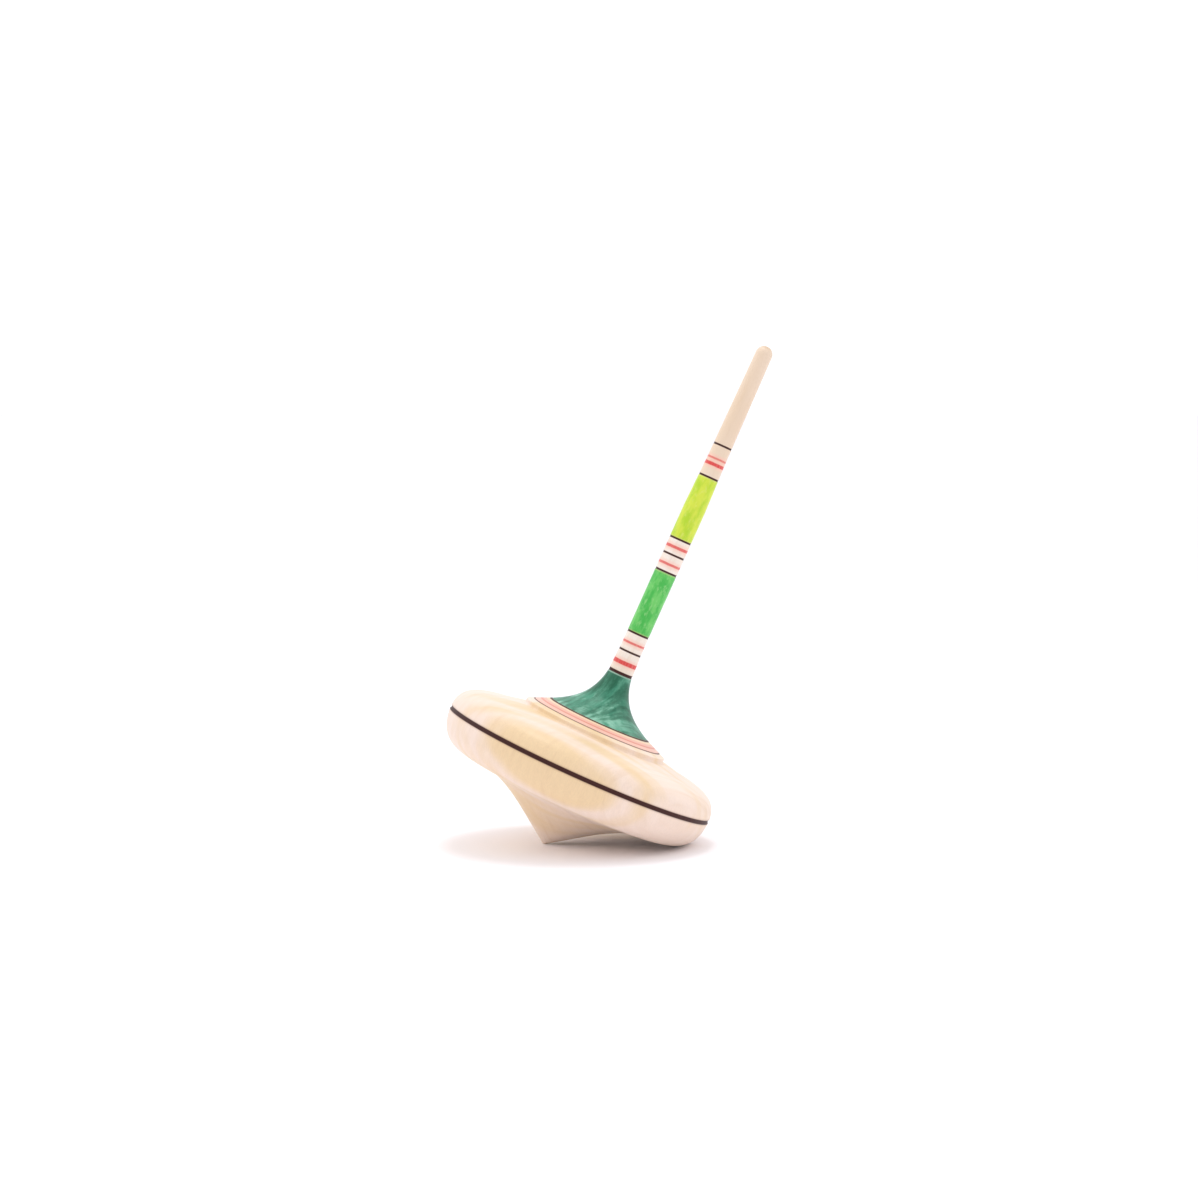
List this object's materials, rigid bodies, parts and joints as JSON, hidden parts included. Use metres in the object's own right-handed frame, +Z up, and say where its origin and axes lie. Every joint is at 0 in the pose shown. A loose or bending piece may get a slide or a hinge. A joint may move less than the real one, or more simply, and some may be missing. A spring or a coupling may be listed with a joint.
{
  "type": "spinning top",
  "caption": "Turned wooden finger top: thick rounded flywheel with a short point and a flared neck, and a long thin stem, resting on its point and rim.",
  "frame": {"origin": "where the point touches the ground", "axes": "+Z up from the surface that the top lies on, +X the way the top leans, so its own axis lies in the XZ plane, leaning 24.24 degrees from +Z"},
  "size_m": [0.0644, 0.056, 0.0986],
  "materials": {
    "flywheel_wood": "satin varnish over bare maple, with stained rings and burnt lines",
    "stem_wood": "satin varnish over bare maple, with stained bands and burnt lines"
  },
  "bodies": {
    "root": {"flywheel": "flywheel_wood", "stem": "stem_wood"}
  },
  "joints": []
}
